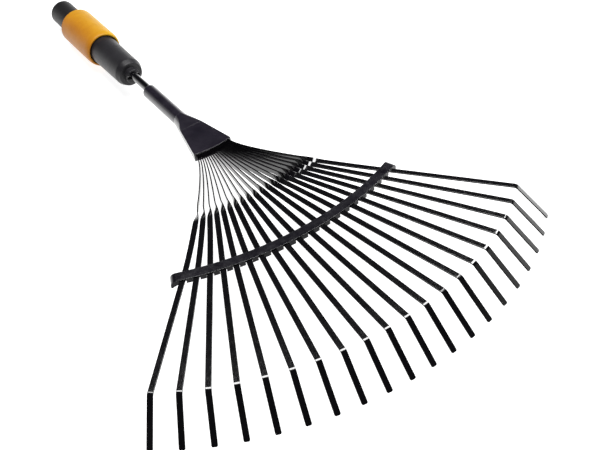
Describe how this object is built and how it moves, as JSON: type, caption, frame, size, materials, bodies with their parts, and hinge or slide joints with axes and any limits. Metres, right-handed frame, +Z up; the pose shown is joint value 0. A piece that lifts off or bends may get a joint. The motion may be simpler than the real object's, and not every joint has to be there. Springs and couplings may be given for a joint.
{
  "type": "leaf rake head",
  "caption": "Fan of black spring-steel tines with bent tips, held by a curved spreader bar and a flattened neck, on a quick-release handle socket with a sliding orange collar.",
  "frame": {"origin": "bottom centre of the head's bounding box, as it rests on a floor on its outer tine tips and the rim of its collar", "axes": "+Z up; +Y runs from the tine tips to the handle; X across the fan"},
  "size_m": [0.423, 0.699, 0.0475],
  "materials": {
    "black_paint": "glossy black paint on flat spring-steel strip",
    "neck_paint": "black powder coat, semi-gloss",
    "bar_paint": "black paint on pressed sheet steel, slightly mottled satin",
    "grey_nylon": "dark grey moulded nylon, fine satin grain",
    "black_nylon": "black moulded nylon, satin",
    "orange_nylon": "orange moulded nylon, satin",
    "bright_steel": "bright spring steel and bearing balls"
  },
  "bodies": {
    "head": {"neck_socket": "neck_paint", "neck_plug": "black_paint", "tang": "black_paint", "tang_pin": "bright_steel", "spreader_bar": "bar_paint", "bar_keeper": "bar_paint", "barrel": "grey_nylon", "socket_tube": "black_nylon", "collar_spring": "bright_steel", "stop_ring": "bright_steel", "tine_01": "black_paint", "tine_02": "black_paint", "tine_03": "black_paint", "tine_04": "black_paint", "tine_05": "black_paint", "tine_06": "black_paint", "tine_07": "black_paint", "tine_08": "black_paint", "tine_09": "black_paint", "tine_10": "black_paint", "tine_11": "black_paint", "tine_12": "black_paint", "tine_13": "black_paint", "tine_14": "black_paint", "tine_15": "black_paint", "tine_16": "black_paint", "tine_17": "black_paint", "tine_18": "black_paint", "tine_19": "black_paint", "tine_20": "black_paint"},
    "collar": {"release_collar": "orange_nylon"},
    "left_latch": {"latch_ball_left": "bright_steel"},
    "right_latch": {"latch_ball_right": "bright_steel"}
  },
  "joints": [
    {"name": "collar_slide", "type": "slide", "parent": "head", "child": "collar", "axis": [0, -0.9984, 0.0564], "range_m": [0, 0.01], "stiffness_N_per_m": 400, "springref_m": -0.01, "deforming": ["collar_spring"]},
    {"name": "left_latch_slide", "type": "slide", "parent": "head", "child": "left_latch", "axis": [-1, 0, 0], "range_m": [0, 0.0011]},
    {"name": "right_latch_slide", "type": "slide", "parent": "head", "child": "right_latch", "axis": [1, 0, 0], "range_m": [0, 0.0011]}
  ],
  "couplings": [
    {"joint": "left_latch_slide", "follows": "collar_slide", "ratio": 0.11},
    {"joint": "right_latch_slide", "follows": "collar_slide", "ratio": 0.11}
  ]
}
